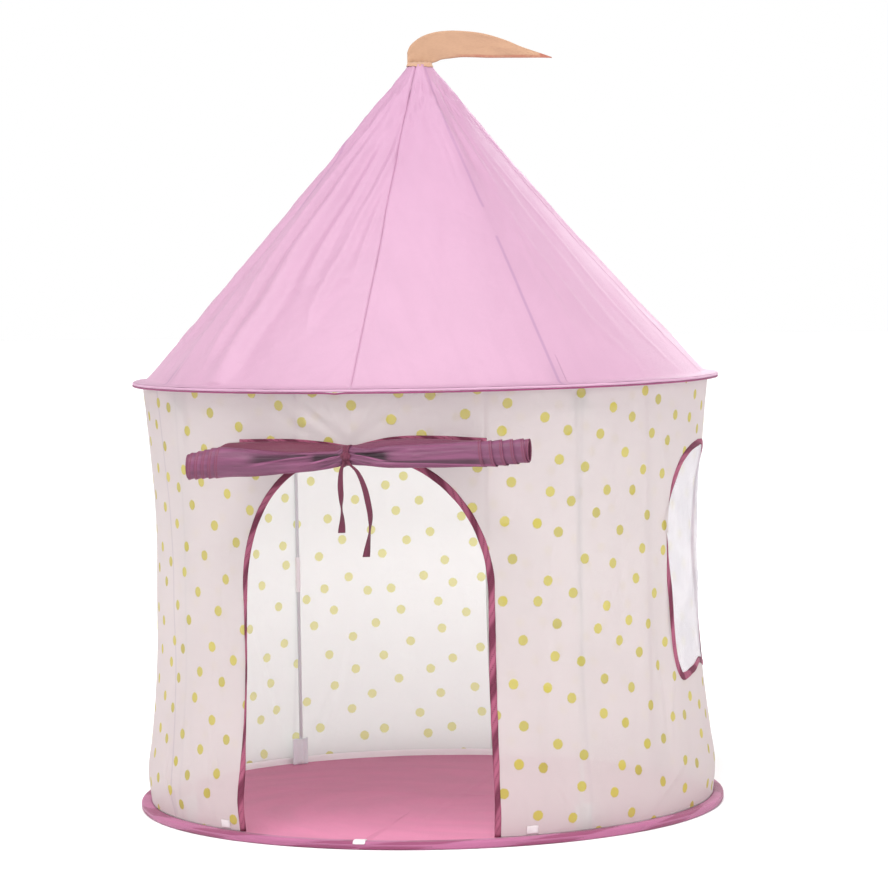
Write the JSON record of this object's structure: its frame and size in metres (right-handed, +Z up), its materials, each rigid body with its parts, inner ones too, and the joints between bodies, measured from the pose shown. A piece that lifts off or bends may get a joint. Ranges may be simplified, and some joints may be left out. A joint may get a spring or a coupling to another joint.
{
  "type": "kids play tent",
  "caption": "Round cloth play tent with a conical roof, an arched doorway whose flap is rolled up and tied above it, a net window on one side and a pennant on the tip.",
  "frame": {"origin": "centre of the round floor, on the ground", "axes": "+Z up along the tent's axis, -Y out of the doorway, +X towards the window"},
  "size_m": [1.06, 1.0928, 1.3957],
  "materials": {
    "roof_cloth": "satin pink woven polyester",
    "wall_cloth": "thin pale pink translucent polyester with small yellow dots",
    "rose_cloth": "matt rose woven polyester",
    "binding": "dark rose folded tape",
    "roll_cloth": "satin mauve woven polyester",
    "net": "white polyester mesh",
    "flag_cloth": "matt peach stiffened cloth",
    "pole": "smooth pale grey drawn fibreglass rod",
    "white_plastic": "smooth white moulded plastic",
    "pocket_cloth": "light grey woven tape",
    "steel": "plain spring-steel wire",
    "tab": "pink hook-and-loop tape"
  },
  "bodies": {
    "tent": {"eave_sleeve": "roof_cloth", "roof_gore_1": "roof_cloth", "roof_gore_2": "roof_cloth", "roof_gore_3": "roof_cloth", "roof_gore_4": "roof_cloth", "wall_front": "wall_cloth", "wall_right": "wall_cloth", "wall_left": "wall_cloth", "floor_sheet": "rose_cloth", "floor_sleeve": "rose_cloth", "eave_binding": "binding", "door_binding": "binding", "window_binding": "binding", "flap_strip": "binding", "flap_web": "roll_cloth", "window_net": "net", "wall_rod_lower_front_right": "pole", "wall_rod_upper_front_right": "pole", "wall_rod_lower_back_right": "pole", "wall_rod_upper_back_right": "pole", "wall_rod_lower_back_left": "pole", "wall_rod_upper_back_left": "pole", "wall_rod_lower_front_left": "pole", "wall_rod_upper_front_left": "pole", "roof_rod_upper_front_right": "pole", "roof_rod_upper_back_right": "pole", "roof_rod_upper_back_left": "pole", "roof_rod_upper_front_left": "pole", "apex_hub": "white_plastic", "wall_ferrule_front_right": "white_plastic", "wall_ferrule_back_right": "white_plastic", "wall_ferrule_back_left": "white_plastic", "wall_ferrule_front_left": "white_plastic", "roof_rod_lower_front_right": "white_plastic", "roof_rod_lower_back_right": "white_plastic", "roof_rod_lower_back_left": "white_plastic", "roof_rod_lower_front_left": "white_plastic", "foot_pocket_front_right": "pocket_cloth", "eave_pocket_front_right": "pocket_cloth", "foot_pocket_back_right": "pocket_cloth", "eave_pocket_back_right": "pocket_cloth", "foot_pocket_back_left": "pocket_cloth", "eave_pocket_back_left": "pocket_cloth", "foot_pocket_front_left": "pocket_cloth", "eave_pocket_front_left": "pocket_cloth", "floor_hoop": "steel", "eave_hoop": "steel", "hook_tab_threshold": "tab", "hook_tab_left": "tab", "hook_tab_right": "tab"},
    "rolled_flap": {"door_roll": "roll_cloth", "tie_band": "binding"},
    "ribbon_left": {"ribbon_end_left": "binding"},
    "ribbon_right": {"ribbon_end_right": "binding"},
    "pennant": {"flag": "flag_cloth"}
  },
  "joints": [
    {"name": "door_roll_swing", "type": "hinge", "parent": "tent", "child": "rolled_flap", "pos_m": [0, -0.5175, 0.686], "axis": [-1, 0, 0], "range_deg": [0, 90]},
    {"name": "ribbon_left_swing", "type": "hinge", "parent": "rolled_flap", "child": "ribbon_left", "pos_m": [-0.00726, -0.55395, 0.65536], "axis": [-1, 0, 0], "range_deg": [-20, 80]},
    {"name": "ribbon_right_swing", "type": "hinge", "parent": "rolled_flap", "child": "ribbon_right", "pos_m": [-0.00026, -0.55395, 0.65536], "axis": [-1, 0, 0], "range_deg": [-20, 80]},
    {"name": "pennant_bend", "type": "hinge", "parent": "tent", "child": "pennant", "pos_m": [0, 0, 1.3387], "axis": [0.9715, 0.2368, 0], "range_deg": [-80, 80], "stiffness_Nm_per_rad": 0.02}
  ]
}
